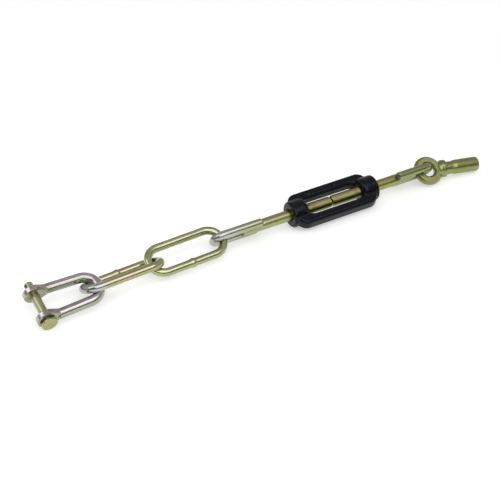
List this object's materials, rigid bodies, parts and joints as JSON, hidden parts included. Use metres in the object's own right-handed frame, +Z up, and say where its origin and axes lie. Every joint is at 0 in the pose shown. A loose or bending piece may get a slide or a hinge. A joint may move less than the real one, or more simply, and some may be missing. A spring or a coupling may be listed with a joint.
{
  "type": "check chain with turnbuckle",
  "caption": "Short adjustable check chain: shackle with clevis pin, long welded links, black turnbuckle between two rods with welded half links, and an eye bolt.",
  "frame": {"origin": "middle of the clevis pin's free span, on the pin's axis, halfway between the shackle's two eyes", "axes": "+X along the turnbuckle's rods, from the shackle towards the eye bolt; +Z up, with the chain lying slack on level ground; +Y across the chain"},
  "size_m": [0.7152, 0.0743, 0.0406],
  "materials": {
    "silver_passivated": "satin",
    "yellow_passivated": "satin",
    "pin_passivated": "satin",
    "weld": "rough",
    "black_paint": "satin"
  },
  "bodies": {
    "turnbuckle": {"turnbuckle_body": "black_paint"},
    "left_rod_end": {"left_rod": "yellow_passivated", "left_half_link": "yellow_passivated", "left_weld_low_back": "weld", "left_weld_low_front": "weld", "left_weld_high_back": "weld", "left_weld_high_front": "weld"},
    "right_rod_end": {"right_rod": "yellow_passivated", "right_half_link": "yellow_passivated", "right_weld_low_back": "weld", "right_weld_low_front": "weld", "right_weld_high_back": "weld", "right_weld_high_front": "weld"},
    "link_2": {"chain_link_2": "yellow_passivated"},
    "link_1": {"chain_link_1": "silver_passivated"},
    "shackle_bar": {"shackle": "silver_passivated"},
    "pin": {"clevis_pin": "pin_passivated"},
    "eye": {"eye_bolt": "yellow_passivated"}
  },
  "joints": [
    {"name": "left_rod_slide", "type": "slide", "parent": "turnbuckle", "child": "left_rod_end", "axis": [-1, 0, 0], "range_m": [0, 0.04]},
    {"name": "right_rod_slide", "type": "slide", "parent": "turnbuckle", "child": "right_rod_end", "axis": [1, 0, 0], "range_m": [0, 0.04]},
    {"name": "link_2_swing", "type": "hinge", "parent": "left_rod_end", "child": "link_2", "pos_m": [0.27369, 0.01235, 0], "axis": [0, 0.8829, 0.4695], "range_deg": [-60, 60]},
    {"name": "link_1_swing", "type": "hinge", "parent": "link_2", "child": "link_1", "pos_m": [0.17569, 0.00764, 0], "axis": [0, 0.5736, -0.8192], "range_deg": [-60, 60]},
    {"name": "shackle_swing", "type": "hinge", "parent": "link_1", "child": "shackle_bar", "pos_m": [0.06322, 0.00233, 0], "axis": [0, 0.342, -0.9397], "range_deg": [-60, 60]},
    {"name": "pin_slide", "type": "slide", "parent": "shackle_bar", "child": "pin", "axis": [0.0268, -0.9584, -0.2841], "range_m": [0, 0.07]},
    {"name": "eye_swing", "type": "hinge", "parent": "right_rod_end", "child": "eye", "pos_m": [0.60325, 0.01248, -0.00062], "axis": [0.1699, 0.8186, 0.5486], "range_deg": [-60, 90]}
  ],
  "couplings": [
    {"joint": "right_rod_slide", "follows": "left_rod_slide", "ratio": 1}
  ]
}
